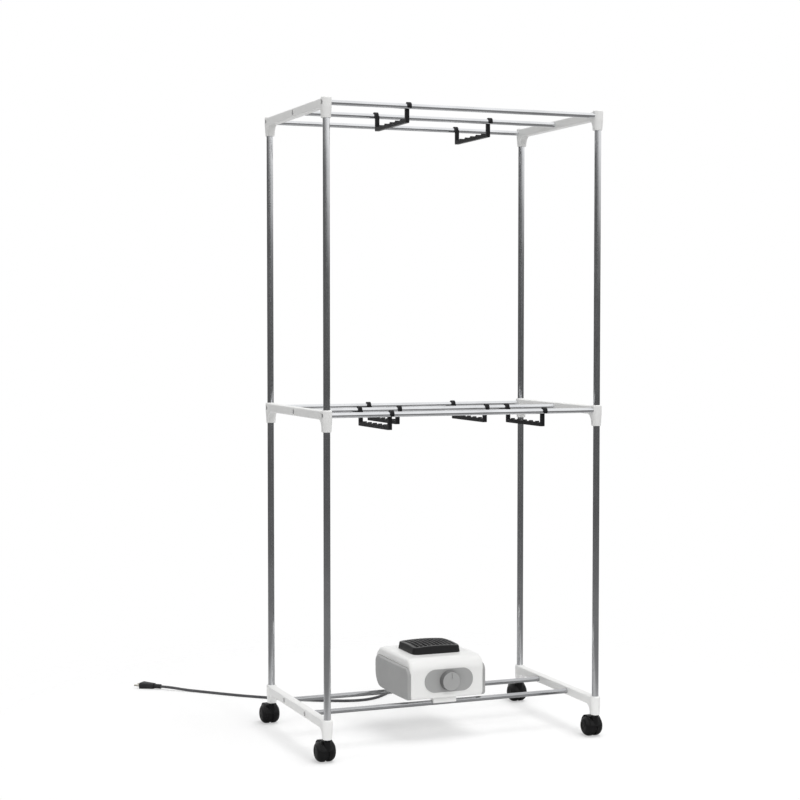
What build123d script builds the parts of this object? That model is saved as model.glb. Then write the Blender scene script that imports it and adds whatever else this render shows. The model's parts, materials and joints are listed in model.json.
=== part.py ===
import os
from math import cos, hypot, pi, radians, sin, sqrt, tan

from build123d import *

os.makedirs("parts", exist_ok=True)

# Sizes in millimetres. The floor is Z = 0, the front faces -Y, the origin is under the rack's middle.

# Rack: spacing of the upright axes and heights of the rail axes
span_x = 676.0
span_y = 412.0
bottom_rail_z = 86.0
middle_rail_z = 780.0
top_rail_z = 1472.0
bottom_rail_spread = 154.0

# Tubes
upright_dia = 16.0
upright_wall = 0.8
rail_dia = 12.0
rail_wall = 0.8
tube_clearance = 0.05

# Side bars: a bar between two sockets, with an arch under each end
bar_width = 20.0
bar_height = 20.0
bar_edge = 3.0
socket_dia = 24.0
socket_tip_dia = 20.5
socket_rise = 12.0
socket_round = 3.0
bottom_socket_drop = 32.0
middle_socket_drop = 37.0
top_socket_drop = 34.0
arch_radius = 20.0
socket_web = 2.5
upright_peg_length = 25.0

# Rail screws and the plugs they hold on to
screw_shank_dia = 4.0
screw_length = 20.0
screw_head_dia = 9.0
screw_head_height = 2.6
screw_recess_dia = 12.0
screw_recess_depth = 3.0
plug_length = 16.0
screw_clearance = 0.1

# Casters
wheel_dia = 48.0
wheel_tread = 5.0
wheel_face_dia = 18.0
wheel_half_width = 22.5
wheel_end_wall = 3.5
hub_cap_dia = 11.0
hub_groove_dia = 16.0
hub_groove_depth = 0.8
axle_dia = 6.0
caster_trail = 18.0
caster_web = 7.0
web_recess = 2.0
hood_gap = 0.8
hood_wall = 1.8
hood_width = 30.0
hood_skirt = 4.0
hood_edge = 0.8
caster_boss_dia = 17.0
stem_dia = 8.0
stem_seat_depth = 18.0
stem_pin_dia = 4.5
stem_pin_length = 20.0
stem_collar_dia = 14.0
stem_collar_height = 1.5
run_clearance = 0.05
side_clearance = 0.4

# Hanger bars: X position, the foremost of its two rails, level
hanger_bars = {
    "hanger_bar_top_front": (-142.0, "front", "top"),
    "hanger_bar_top_rear": (153.0, "centre", "top"),
    "hanger_bar_left_front": (-184.0, "front", "middle"),
    "hanger_bar_left_rear": (-83.0, "centre", "middle"),
    "hanger_bar_right_rear": (146.0, "centre", "middle"),
    "hanger_bar_right_front": (200.0, "front", "middle"),
}
hanger_width = 9.0
hanger_arm = 7.0
hanger_clip = 3.4
hanger_drop = 36.0
hanger_beam = 9.0
hanger_corner = 3.0
hanger_lip_angle = 30.0
hanger_clearance = 0.1
notch_count = 5
notch_pitch = 33.0
notch_bump_radius = 2.8
notch_foot_radius = 1.5

# Heater unit: a shell with rounded ends, open below, with a base and a domed cap let into each end
heater_half_width = 94.5
heater_front_y = -102.0
heater_rear_y = 131.0
heater_bottom_z = 99.0
heater_height = 96.0
heater_front_top_radius = 28.0
heater_front_bottom_radius = 10.0
heater_rear_radius = 44.0
heater_wall = 2.5
heater_end_wall = 8.5
heater_end_round = 9.0
seam = 0.15
base_front_inset = 14.0
base_rear_inset = 52.0
base_lip = 3.8
cap_front_margin = 3.0
cap_rear_margin = 16.0
cap_top_margin = 20.0
cap_front_bottom_radius = 9.0
cap_front_top_radius = 18.0
cap_rear_bottom_radius = 40.0
cap_rear_top_radius = 20.0
cap_depth = 6.0
cap_proud = 6.0
cap_dome = 4.0
cap_edge = 5.0

# Saddles under the base that straddle the bottom rails
saddle_width = 59.0
saddle_depth = 18.0
saddle_clearance = 0.1

# Control panel, knob and timer
panel_length = 124.0
panel_height = 55.0
panel_x = 3.5
panel_z = 142.0
panel_proud = 1.6
panel_edge = 1.0
panel_border = 4.0
panel_plug_depth = 5.0
knob_dia = 48.0
knob_height = 16.0
knob_draft = 4.0
knob_edge = 2.0
knob_gap = 0.4
pointer_width = 3.0
pointer_depth = 1.2
pointer_length = 14.0
knob_shaft_dia = 6.0
timer_width = 46.0
timer_height = 42.0
timer_depth = 24.0
timer_corner = 5.0

# Warm air outlet
outlet_length = 124.0
outlet_depth = 112.0
outlet_y = 12.0
outlet_height = 21.0
outlet_taper = 10.0
outlet_corner = 14.0
outlet_crown = 6.0
outlet_edge = 2.0
outlet_wall = 3.0
outlet_rim = 6.0
outlet_skirt = 12.0
outlet_grid_thickness = 8.0
cell_columns = 10
cell_rows = 9
cell_bar = 1.6
cell_taper = 5.0

# Fan, motor and heating element
fan_dia = 86.0
fan_hub_dia = 34.0
fan_hub_height = 16.0
blade_count = 7
blade_thickness = 1.8
blade_root_chord = 19.0
blade_tip_chord = 26.0
blade_root_pitch = 42.0
blade_tip_pitch = 24.0
fan_shaft_dia = 4.0
fan_gap = 3.0
motor_dia = 38.0
motor_height = 27.0
motor_edge = 3.0
motor_nose_dia = 14.0
motor_nose_height = 2.0
pedestal_dia = 30.0
pedestal_height = 5.0
intake_slots = 14
intake_slot_length = 16.0
intake_slot_width = 5.0
intake_ring_radius = 32.0
element_length = 104.0
element_depth = 80.0
element_height = 14.0
element_border = 6.0
element_gap = 4.0
fin_count = 11
fin_thickness = 2.4
post_dia = 8.0
post_inset = 5.0

# Mains cord
cord_dia = 7.0
lead_run = 30.0
gland_inset = 34.5
gland_neck_dia = 12.0
gland_flange_dia = 17.0
gland_flange = 2.5
gland_base_dia = 14.0
gland_tip_dia = 9.5
gland_length = 36.0
gland_gap = 0.3
coil_x = 200.0
coil_y = 430.0
coil_inner_radius = 34.2
coil_turns = 2.25
coil_pitch = 7.8
coil_layer = 7.7
coil_lift = 5.0
coil_reversal = 0.08
tie_angle = 205.0
tie_width = 9.0
tie_wall = 0.9
tie_gap = 0.5
plug_x = -492.0
plug_y = 705.5
plug_angle = 137.3
plug_body_length = 38.0
plug_body_width = 32.0
plug_neck_width = 19.0
plug_body_height = 16.0
plug_neck_height = 13.6
plug_corner = 5.0
plug_tail_dia = 12.0
plug_tail_length = 20.0
pin_dia = 4.8
pin_length = 18.0
pin_tip = 1.2
pin_spacing = 19.0

# Places that follow from the sizes above
levels = ("bottom", "middle", "top")
rail_z = {"bottom": bottom_rail_z, "middle": middle_rail_z, "top": top_rail_z}
socket_drop = {"bottom": bottom_socket_drop, "middle": middle_socket_drop, "top": top_socket_drop}
hanging_rails = {"front": -span_y / 2, "centre": 0.0, "rear": span_y / 2}
bottom_rails = {"front": -bottom_rail_spread / 2, "rear": bottom_rail_spread / 2}
level_rails = {"bottom": bottom_rails, "middle": hanging_rails, "top": hanging_rails}
sides = {"left": -1, "right": 1}
ends = {"front": -1, "rear": 1}
corners = [(side * span_x / 2, end * span_y / 2) for side in sides.values() for end in ends.values()]
socket_low = {level: rail_z[level] - socket_drop[level] for level in levels}
socket_high = {level: rail_z[level] + socket_rise for level in levels}
lower_tube_foot = socket_low["bottom"] + stem_seat_depth + socket_web
lower_tube_head = middle_rail_z - rail_dia / 2 - tube_clearance - socket_web
upper_tube_foot = socket_high["middle"]
upper_tube_head = top_rail_z - rail_dia / 2 - tube_clearance - socket_web
screw_seat = bar_width / 2 - screw_recess_depth
axle_z = wheel_dia / 2
hood_radius = wheel_dia / 2 + hood_gap + hood_wall
housing_top = socket_low["bottom"] - stem_collar_height - side_clearance
heater_top_z = heater_bottom_z + heater_height
heater_mid_y = (heater_front_y + heater_rear_y) / 2
heater_mid_z = heater_bottom_z + heater_height / 2
heater_floor_z = heater_bottom_z + heater_wall
motor_foot_z = heater_floor_z + pedestal_height
motor_head_z = motor_foot_z + motor_height
hub_foot_z = motor_head_z + motor_nose_height + fan_gap
element_head_z = heater_top_z - outlet_skirt - element_gap
element_foot_z = element_head_z - element_height
panel_back_y = heater_front_y + panel_plug_depth
knob_back_y = heater_front_y - panel_proud - knob_gap
gland_x = heater_half_width - gland_inset
gland_z = heater_mid_z


def unit_vector(vector):
    return vector * (1 / vector.length)


# Side bars
def make_side_bar(side, level):
    axis_x = side * span_x / 2
    z_rail = rail_z[level]
    z_under = z_rail - bar_height / 2
    z_low = socket_low[level]
    z_high = socket_high[level]
    leg_width = socket_tip_dia / 2
    leg_height = z_under - z_low
    ends_xy = [(axis_x, end * span_y / 2) for end in ends.values()]
    with BuildPart() as bar:
        with BuildSketch(Plane.YZ.offset(axis_x)) as profile:
            with Locations((0, z_rail)):
                Rectangle(span_y, bar_height)
            for end in ends.values():
                with Locations((end * (span_y - leg_width) / 2, z_low + leg_height / 2)):
                    Rectangle(leg_width, leg_height)
            arch_corners = [
                v for v in profile.vertices()
                if abs(v.Y - z_under) < 0.01 and abs(v.X) < span_y / 2 - 1
            ]
            fillet(arch_corners, min(arch_radius, leg_height - 1))
        extrude(amount=bar_width / 2, both=True)
        fillet(bar.faces().filter_by(Axis.X).edges(), bar_edge)
        for end in ends.values():
            with BuildSketch(Plane.XZ.offset(-end * span_y / 2)):
                with BuildLine():
                    tip = (axis_x + socket_tip_dia / 2, z_low)
                    shoulder = (axis_x + socket_dia / 2, z_under)
                    brim = (axis_x + socket_dia / 2, z_high - socket_round)
                    crown = (axis_x + socket_dia / 2 - socket_round, z_high)
                    Polyline((axis_x, z_low), tip, shoulder, brim)
                    TangentArc(brim, crown, tangent=(0, 1))
                    Polyline(crown, (axis_x, z_high), (axis_x, z_low))
                make_face()
            revolve(axis=Axis((axis_x, end * span_y / 2, 0), (0, 0, 1)))
        # Upright bores, and what else each level has in its sockets
        if level == "bottom":
            with BuildSketch(Plane.XY.offset(lower_tube_foot)):
                with Locations(*ends_xy):
                    Circle(upright_dia / 2 + tube_clearance)
            extrude(amount=z_high - lower_tube_foot, mode=Mode.SUBTRACT)
            with BuildSketch(Plane.XY.offset(z_low)):
                with Locations(*ends_xy):
                    Circle(stem_dia / 2 + tube_clearance)
            extrude(amount=stem_seat_depth, mode=Mode.SUBTRACT)
        else:
            tube_head = lower_tube_head if level == "middle" else upper_tube_head
            with BuildSketch(Plane.XY.offset(z_low)):
                with Locations(*ends_xy):
                    Circle(upright_dia / 2 + tube_clearance)
            extrude(amount=tube_head - z_low, mode=Mode.SUBTRACT)
        if level == "middle":
            with BuildSketch(Plane.XY.offset(z_high)):
                with Locations(*ends_xy):
                    Circle(upright_dia / 2 - upright_wall - tube_clearance)
            extrude(amount=upright_peg_length)
        # Blind holes for the rail ends, and recessed holes for their screws
        rail_places = [(y, z_rail) for y in level_rails[level].values()]
        with BuildSketch(Plane.YZ.offset(axis_x)):
            with Locations(*rail_places):
                Circle(rail_dia / 2 + tube_clearance)
        extrude(amount=-side * socket_dia, mode=Mode.SUBTRACT)
        with BuildSketch(Plane.YZ.offset(axis_x)):
            with Locations(*rail_places):
                Circle(screw_shank_dia / 2 + screw_clearance)
        extrude(amount=side * socket_dia, mode=Mode.SUBTRACT)
        with BuildSketch(Plane.YZ.offset(axis_x + side * screw_seat)):
            with Locations(*rail_places):
                Circle(screw_recess_dia / 2)
        extrude(amount=side * socket_dia, mode=Mode.SUBTRACT)
    return bar.part


for level in levels:
    for side_name, side in sides.items():
        side_bar = make_side_bar(side, level)
        side_bar.label = f"{level}_{side_name}_bar"
        export_step(side_bar, f"parts/{side_bar.label}.step")


# Uprights
def make_upright(x, y, foot, head):
    with BuildPart() as upright:
        with BuildSketch(Plane.XY.offset(foot)):
            with Locations((x, y)):
                Circle(upright_dia / 2)
                Circle(upright_dia / 2 - upright_wall, mode=Mode.SUBTRACT)
        extrude(amount=head - foot)
    return upright.part


tube_spans = {"lower": (lower_tube_foot, lower_tube_head), "upper": (upper_tube_foot, upper_tube_head)}
for span_name, (foot, head) in tube_spans.items():
    for side_name, side in sides.items():
        for end_name, end in ends.items():
            upright_tube = make_upright(side * span_x / 2, end * span_y / 2, foot, head)
            upright_tube.label = f"{span_name}_upright_{end_name}_{side_name}"
            export_step(upright_tube, f"parts/{upright_tube.label}.step")


# Rails
def make_rail(y, z):
    with BuildPart() as rail:
        with BuildSketch(Plane.YZ.offset(-span_x / 2)):
            with Locations((y, z)):
                Circle(rail_dia / 2)
                Circle(rail_dia / 2 - rail_wall, mode=Mode.SUBTRACT)
        extrude(amount=span_x)
    return rail.part


for level in levels:
    for rail_name, y in level_rails[level].items():
        rail_tube = make_rail(y, rail_z[level])
        rail_tube.label = f"{level}_rail_{rail_name}"
        export_step(rail_tube, f"parts/{rail_tube.label}.step")

# Plugs pressed into the rail ends, and the screws that draw the rails into the side bars
with BuildPart() as rail_plugs:
    for side in sides.values():
        for level in levels:
            with BuildSketch(Plane.YZ.offset(side * span_x / 2)):
                with Locations(*[(y, rail_z[level]) for y in level_rails[level].values()]):
                    Circle(rail_dia / 2 - rail_wall - tube_clearance)
                    Circle(screw_shank_dia / 2 + tube_clearance, mode=Mode.SUBTRACT)
            extrude(amount=-side * plug_length)
rail_plugs.part.label = "rail_plugs"
export_step(rail_plugs.part, "parts/rail_plugs.step")

with BuildPart() as rail_screws:
    for side in sides.values():
        seat_x = side * (span_x / 2 + screw_seat)
        for level in levels:
            screw_places = [(y, rail_z[level]) for y in level_rails[level].values()]
            with BuildSketch(Plane.YZ.offset(seat_x)):
                with Locations(*screw_places):
                    Circle(screw_head_dia / 2)
            extrude(amount=side * screw_head_height)
            with BuildSketch(Plane.YZ.offset(seat_x)):
                with Locations(*screw_places):
                    Circle(screw_shank_dia / 2)
            extrude(amount=-side * screw_length)
rail_screws.part.label = "rail_screws"
export_step(rail_screws.part, "parts/rail_screws.step")

# Caster stems: the thick end sits in the socket, the thin end is the swivel pin
with BuildPart() as caster_stems:
    stem_foot = socket_low["bottom"] - stem_collar_height - stem_pin_length
    with BuildSketch(Plane.XY.offset(stem_foot)):
        with Locations(*corners):
            Circle(stem_pin_dia / 2)
    extrude(amount=stem_pin_length)
    with BuildSketch(Plane.XY.offset(socket_low["bottom"] - stem_collar_height)):
        with Locations(*corners):
            Circle(stem_collar_dia / 2)
    extrude(amount=stem_collar_height)
    with BuildSketch(Plane.XY.offset(socket_low["bottom"])):
        with Locations(*corners):
            Circle(stem_dia / 2)
    extrude(amount=stem_seat_depth)
caster_stems.part.label = "caster_stems"
export_step(caster_stems.part, "parts/caster_stems.step")


# Casters: a hood and web on the swivel pin, with a wheel on each side of the web
def make_caster_housing(x, y):
    axle_y = y + caster_trail
    pin_bore = stem_pin_dia / 2 + run_clearance
    pin_room = stem_pin_length - side_clearance + 1.0
    with BuildPart() as housing:
        with BuildSketch(Plane.YZ.offset(x)):
            with Locations((axle_y, axle_z)):
                Circle(hood_radius)
                Circle(hood_radius - hood_wall, mode=Mode.SUBTRACT)
            with Locations((axle_y, axle_z + hood_skirt - wheel_dia)):
                Rectangle(3 * wheel_dia, 2 * wheel_dia, mode=Mode.SUBTRACT)
        extrude(amount=hood_width / 2, both=True)
        fillet(housing.faces().sort_by(Axis.Z)[-1].edges().filter_by(GeomType.CIRCLE), hood_edge)
        with BuildSketch(Plane.XY.offset(axle_z + hood_skirt)):
            with Locations((x, y)):
                Circle(caster_boss_dia / 2)
        extrude(amount=housing_top - axle_z - hood_skirt)
        for side in sides.values():
            with BuildSketch(Plane.YZ.offset(x + side * caster_web / 2)):
                with Locations((axle_y, axle_z)):
                    Circle(hood_radius - hood_wall)
            extrude(amount=side * hood_width, mode=Mode.SUBTRACT)
        with BuildSketch(Plane.YZ.offset(x)):
            with Locations((axle_y, axle_z)):
                Circle(hood_radius - hood_edge)
            with Locations((axle_y, axle_z + hood_skirt - wheel_dia)):
                Rectangle(3 * wheel_dia, 2 * wheel_dia, mode=Mode.SUBTRACT)
            with Locations((axle_y, axle_z)):
                Circle(wheel_dia / 2 - web_recess)
        extrude(amount=caster_web / 2, both=True)
        with BuildSketch(Plane.YZ.offset(x)):
            with Locations((axle_y, axle_z)):
                Circle(axle_dia / 2)
        extrude(amount=wheel_half_width - wheel_end_wall - side_clearance, both=True)
        with BuildSketch(Plane.XY.offset(housing_top)):
            with Locations((x, y)):
                Circle(pin_bore)
        extrude(amount=-pin_room, mode=Mode.SUBTRACT)
    return housing.part


def make_caster_wheel(x, y, side):
    axle_y = y + caster_trail
    inner = x + side * (caster_web / 2 + side_clearance)
    tread_end = inner + side * wheel_tread
    outer = x + side * wheel_half_width
    bore_end = outer - side * wheel_end_wall
    bore_y = axle_y + axle_dia / 2 + run_clearance
    rim_y = axle_y + wheel_dia / 2
    face_y = axle_y + wheel_face_dia / 2
    with BuildPart() as wheel:
        with BuildSketch(Plane.XY.offset(axle_z)):
            with BuildLine():
                Polyline((inner, bore_y), (inner, rim_y), (tread_end, rim_y))
                TangentArc((tread_end, rim_y), (outer, face_y), tangent=(side, 0))
                Polyline((outer, face_y), (outer, axle_y), (bore_end, axle_y))
                Polyline((bore_end, axle_y), (bore_end, bore_y), (inner, bore_y))
            make_face()
        revolve(axis=Axis((x, axle_y, axle_z), (1, 0, 0)))
        with BuildSketch(Plane.YZ.offset(outer)):
            with Locations((axle_y, axle_z)):
                Circle(hub_groove_dia / 2)
                Circle(hub_cap_dia / 2, mode=Mode.SUBTRACT)
        extrude(amount=-side * hub_groove_depth, mode=Mode.SUBTRACT)
    return wheel.part


for side_name, side in sides.items():
    for end_name, end in ends.items():
        corner_x = side * span_x / 2
        corner_y = end * span_y / 2
        caster = make_caster_housing(corner_x, corner_y)
        caster.label = f"caster_{end_name}_{side_name}"
        export_step(caster, f"parts/{caster.label}.step")
        for wheel_name, wheel_side in sides.items():
            wheel = make_caster_wheel(corner_x, corner_y, wheel_side)
            wheel.label = f"wheel_{end_name}_{side_name}_{wheel_name}"
            export_step(wheel, f"parts/{wheel.label}.step")


# Hanger bars: a notched beam on two arms, each with a clip that wraps outwards over its rail
def make_hanger_bar(x, front_rail_y, z_rail):
    spacing = span_y / 2
    bore = rail_dia / 2 + hanger_clearance
    reach = bore + hanger_clip
    beam_mid_y = front_rail_y + spacing / 2
    beam_length = spacing - 2 * bore
    arm_foot = z_rail - hanger_drop
    lip = radians(hanger_lip_angle)
    with BuildPart() as hanger:
        with BuildSketch(Plane.YZ.offset(x)) as profile:
            for rail_y, inward in ((front_rail_y, 1), (front_rail_y + spacing, -1)):
                with Locations((rail_y, z_rail)):
                    Circle(reach)
                    Circle(bore, mode=Mode.SUBTRACT)
                with BuildLine():
                    lip_y = rail_y - inward * 2 * reach * cos(lip)
                    lip_z = z_rail - 2 * reach * sin(lip)
                    far_y = rail_y + inward * 2 * reach
                    low_z = z_rail - 3 * reach
                    Polyline((far_y, z_rail), (rail_y, z_rail), (lip_y, lip_z))
                    Polyline((lip_y, lip_z), (lip_y, low_z), (far_y, low_z), (far_y, z_rail))
                make_face(mode=Mode.SUBTRACT)
                with Locations((rail_y + inward * (bore + hanger_arm / 2), (z_rail + arm_foot) / 2)):
                    Rectangle(hanger_arm, hanger_drop)
            with Locations((beam_mid_y, arm_foot + hanger_beam / 2)):
                Rectangle(beam_length, hanger_beam)
            with Locations((beam_mid_y, arm_foot + hanger_beam)):
                with GridLocations(notch_pitch, 0, notch_count, 1):
                    Circle(notch_bump_radius)
            foot_corners = profile.vertices().group_by(Axis.Y)[0]
            fillet(foot_corners, hanger_corner)
            notched_half = notch_pitch * notch_count / 2
            bump_feet = [
                v for v in profile.vertices()
                if abs(v.Y - arm_foot - hanger_beam) < 0.01 and abs(v.X - beam_mid_y) < notched_half
            ]
            fillet(bump_feet, notch_foot_radius)
        extrude(amount=hanger_width / 2, both=True)
    return hanger.part


for hanger_name, (x, first_rail, level) in hanger_bars.items():
    hanger_bar = make_hanger_bar(x, hanging_rails[first_rail], rail_z[level])
    hanger_bar.label = hanger_name
    export_step(hanger_bar, f"parts/{hanger_name}.step")


# Heater unit: its side outline, drawn with Y across and Z up
def heater_outline(inset):
    with BuildSketch() as outline:
        with Locations((heater_mid_y, heater_mid_z)):
            Rectangle(heater_rear_y - heater_front_y - 2 * inset, heater_height - 2 * inset)
        front = outline.vertices().group_by(Axis.X)[0].sort_by(Axis.Y)
        fillet(front[0], heater_front_bottom_radius - inset)
        front = outline.vertices().group_by(Axis.X)[0].sort_by(Axis.Y)
        fillet(front[-1], heater_front_top_radius - inset)
        rear = outline.vertices().group_by(Axis.X)[-1]
        fillet(rear, heater_rear_radius - inset)
    return outline.sketch


# The cap's outline, open downwards to the underside of the heater
cap_front_y = heater_front_y + cap_front_margin
cap_rear_y = heater_rear_y - cap_rear_margin
cap_top_z = heater_top_z - cap_top_margin
cap_mid_y = (cap_front_y + cap_rear_y) / 2


def cap_outline(room):
    with BuildSketch() as outline:
        with Locations((cap_mid_y, (heater_bottom_z + cap_top_z) / 2)):
            Rectangle(cap_rear_y - cap_front_y + 2 * room, cap_top_z - heater_bottom_z + 2 * room)
        front = outline.vertices().group_by(Axis.X)[0].sort_by(Axis.Y)
        fillet(front[0], cap_front_bottom_radius + room)
        front = outline.vertices().group_by(Axis.X)[0].sort_by(Axis.Y)
        fillet(front[-1], cap_front_top_radius + room)
        rear = outline.vertices().group_by(Axis.X)[-1].sort_by(Axis.Y)
        fillet(rear[0], cap_rear_bottom_radius + room)
        rear = outline.vertices().group_by(Axis.X)[-1].sort_by(Axis.Y)
        fillet(rear[-1], cap_rear_top_radius + room)
    return outline.sketch


base_front_y = heater_front_y + base_front_inset
base_rear_y = heater_rear_y - base_rear_inset
base_mid_y = (base_front_y + base_rear_y) / 2
base_depth = base_rear_y - base_front_y
inner_half_width = heater_half_width - heater_end_wall
skirt_length = outlet_length - 2 * outlet_rim
skirt_depth = outlet_depth - 2 * outlet_rim

with BuildPart() as heater_shell:
    with BuildSketch(Plane.YZ):
        add(heater_outline(0))
    extrude(amount=heater_half_width, both=True)
    fillet(heater_shell.faces().filter_by(Axis.X).edges(), heater_end_round)
    with BuildSketch(Plane.YZ):
        add(heater_outline(heater_wall))
    extrude(amount=inner_half_width, both=True, mode=Mode.SUBTRACT)
    for side in sides.values():
        with BuildSketch(Plane.YZ.offset(side * (heater_half_width - cap_depth))):
            add(cap_outline(seam))
        extrude(amount=side * 2 * cap_depth, mode=Mode.SUBTRACT)
    with BuildSketch(Plane.XY.offset(heater_bottom_z)):
        with Locations((0, base_mid_y)):
            Rectangle(2 * inner_half_width, base_depth)
    extrude(amount=heater_wall, mode=Mode.SUBTRACT)
    with BuildSketch(Plane.XY.offset(heater_top_z)):
        with Locations((0, outlet_y)):
            Rectangle(skirt_length, skirt_depth)
    extrude(amount=-heater_wall, mode=Mode.SUBTRACT)
    with BuildSketch(Plane.XZ.offset(-heater_front_y)):
        with Locations((panel_x, panel_z)):
            SlotOverall(panel_length - 2 * panel_border, panel_height - 2 * panel_border)
    extrude(amount=-heater_wall - 1, mode=Mode.SUBTRACT)
    with BuildSketch(Plane.XZ.offset(-heater_rear_y)):
        with Locations((gland_x, gland_z)):
            Circle(gland_neck_dia / 2 + seam)
    extrude(amount=heater_wall + 1, both=True, mode=Mode.SUBTRACT)
heater_shell.part.label = "heater_shell"
export_step(heater_shell.part, "parts/heater_shell.step")

with BuildPart() as heater_base:
    with BuildSketch(Plane.XY.offset(heater_bottom_z)):
        with Locations((0, base_mid_y)):
            Rectangle(2 * inner_half_width - 2 * seam, base_depth - 2 * seam)
    extrude(amount=heater_wall)
    # Tongues that rest on the edges of the shell
    with BuildSketch(Plane.XY.offset(heater_floor_z)):
        with Locations((0, base_front_y), (0, base_rear_y)):
            Rectangle(2 * inner_half_width - 2 * base_lip, 2 * base_lip)
    extrude(amount=heater_wall)
    # Saddles on the rails
    for rail_y in bottom_rails.values():
        with BuildSketch(Plane.YZ):
            with Locations((rail_y, (bottom_rail_z + heater_bottom_z) / 2)):
                Rectangle(saddle_depth, heater_bottom_z - bottom_rail_z)
            with Locations((rail_y, bottom_rail_z)):
                Circle(rail_dia / 2 + saddle_clearance, mode=Mode.SUBTRACT)
        extrude(amount=saddle_width / 2, both=True)
    # Pedestal for the motor, posts for the heating element and the air intake
    with BuildSketch(Plane.XY.offset(heater_floor_z)):
        with Locations((0, outlet_y)):
            Circle(pedestal_dia / 2)
    extrude(amount=pedestal_height)
    post_span_x = element_length - 2 * post_inset
    post_span_y = element_depth - 2 * post_inset
    with BuildSketch(Plane.XY.offset(heater_floor_z)):
        with Locations((0, outlet_y)):
            with GridLocations(post_span_x, post_span_y, 2, 2):
                Circle(post_dia / 2)
    extrude(amount=element_foot_z - heater_floor_z)
    with BuildSketch(Plane.XY.offset(heater_bottom_z)):
        with Locations((0, outlet_y)):
            with PolarLocations(intake_ring_radius, intake_slots):
                SlotOverall(intake_slot_length, intake_slot_width)
    extrude(amount=heater_wall, mode=Mode.SUBTRACT)
heater_base.part.label = "heater_base"
export_step(heater_base.part, "parts/heater_base.step")


def make_end_cap(side):
    seat_x = side * (heater_half_width - cap_depth)
    edge_x = side * (heater_half_width + cap_proud)
    crest_x = edge_x + side * cap_dome
    with BuildPart() as cap:
        with BuildSketch(Plane.YZ.offset(seat_x)):
            add(cap_outline(0))
        extrude(amount=crest_x - seat_x)
        with BuildSketch(Plane.XY.offset(heater_bottom_z)):
            with BuildLine():
                ThreePointArc((edge_x, cap_front_y), (crest_x, cap_mid_y), (edge_x, cap_rear_y))
                Line((edge_x, cap_rear_y), (seat_x, cap_rear_y))
                Line((seat_x, cap_rear_y), (seat_x, cap_front_y))
                Line((seat_x, cap_front_y), (edge_x, cap_front_y))
            make_face()
        extrude(amount=heater_height, mode=Mode.INTERSECT)
        outer_face = cap.faces().sort_by(Axis.X)[0 if side < 0 else -1]
        fillet(outer_face.edges(), cap_edge)
    return cap.part


for side_name, side in sides.items():
    end_cap = make_end_cap(side)
    end_cap.label = f"heater_cap_{side_name}"
    export_step(end_cap, f"parts/{end_cap.label}.step")

# Control panel, timer and knob
with BuildPart() as control_panel:
    with BuildSketch(Plane.XZ.offset(-heater_front_y)):
        with Locations((panel_x, panel_z)):
            SlotOverall(panel_length, panel_height)
    extrude(amount=panel_proud)
    front_face = control_panel.faces().sort_by(Axis.Y)[0]
    fillet(front_face.edges(), panel_edge)
    with BuildSketch(Plane.XZ.offset(-heater_front_y)):
        with Locations((panel_x, panel_z)):
            panel_fit = 2 * panel_border + 2 * seam
            SlotOverall(panel_length - panel_fit, panel_height - panel_fit)
    extrude(amount=-panel_plug_depth)
    with BuildSketch(Plane.XZ.offset(-panel_back_y)):
        with Locations((panel_x, panel_z)):
            Circle(knob_shaft_dia / 2 + run_clearance)
    extrude(amount=panel_plug_depth + panel_proud, mode=Mode.SUBTRACT)
control_panel.part.label = "control_panel"
export_step(control_panel.part, "parts/control_panel.step")

with BuildPart() as timer:
    with BuildSketch(Plane.XZ.offset(-panel_back_y)):
        with Locations((panel_x, panel_z)):
            RectangleRounded(timer_width, timer_height, timer_corner)
    extrude(amount=-timer_depth)
    with BuildSketch(Plane.XZ.offset(-panel_back_y)):
        with Locations((panel_x, panel_z)):
            Circle(knob_shaft_dia / 2 + run_clearance)
    extrude(amount=-timer_depth + heater_wall, mode=Mode.SUBTRACT)
timer.part.label = "timer"
export_step(timer.part, "parts/timer.step")

with BuildPart() as timer_knob:
    with BuildSketch(Plane.XZ.offset(-knob_back_y)):
        with Locations((panel_x, panel_z)):
            Circle(knob_dia / 2)
    extrude(amount=knob_height, taper=knob_draft)
    knob_face = timer_knob.faces().sort_by(Axis.Y)[0]
    fillet(knob_face.edges(), knob_edge)
    with BuildSketch(Plane.XZ.offset(-knob_back_y + knob_height)):
        with Locations((panel_x, panel_z + knob_dia / 2 - pointer_length / 2 - 2 * knob_edge)):
            SlotOverall(pointer_length, pointer_width, rotation=90)
    extrude(amount=-pointer_depth, mode=Mode.SUBTRACT)
    with BuildSketch(Plane.XZ.offset(-knob_back_y)):
        with Locations((panel_x, panel_z)):
            Circle(knob_shaft_dia / 2)
    extrude(amount=-(panel_back_y - knob_back_y + timer_depth / 2))
timer_knob.part.label = "timer_knob"
export_step(timer_knob.part, "parts/timer_knob.step")

# Warm air outlet: a tapered box with a domed top, cut into a waffle of open cells that narrow downwards
outlet_head_z = heater_top_z + outlet_height
crown_half = hypot(outlet_length, outlet_depth) / 2
well_length = skirt_length - 2 * seam - 2 * outlet_wall
well_depth = skirt_depth - 2 * seam - 2 * outlet_wall
cell_length = well_length / cell_columns
cell_depth = well_depth / cell_rows

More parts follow.
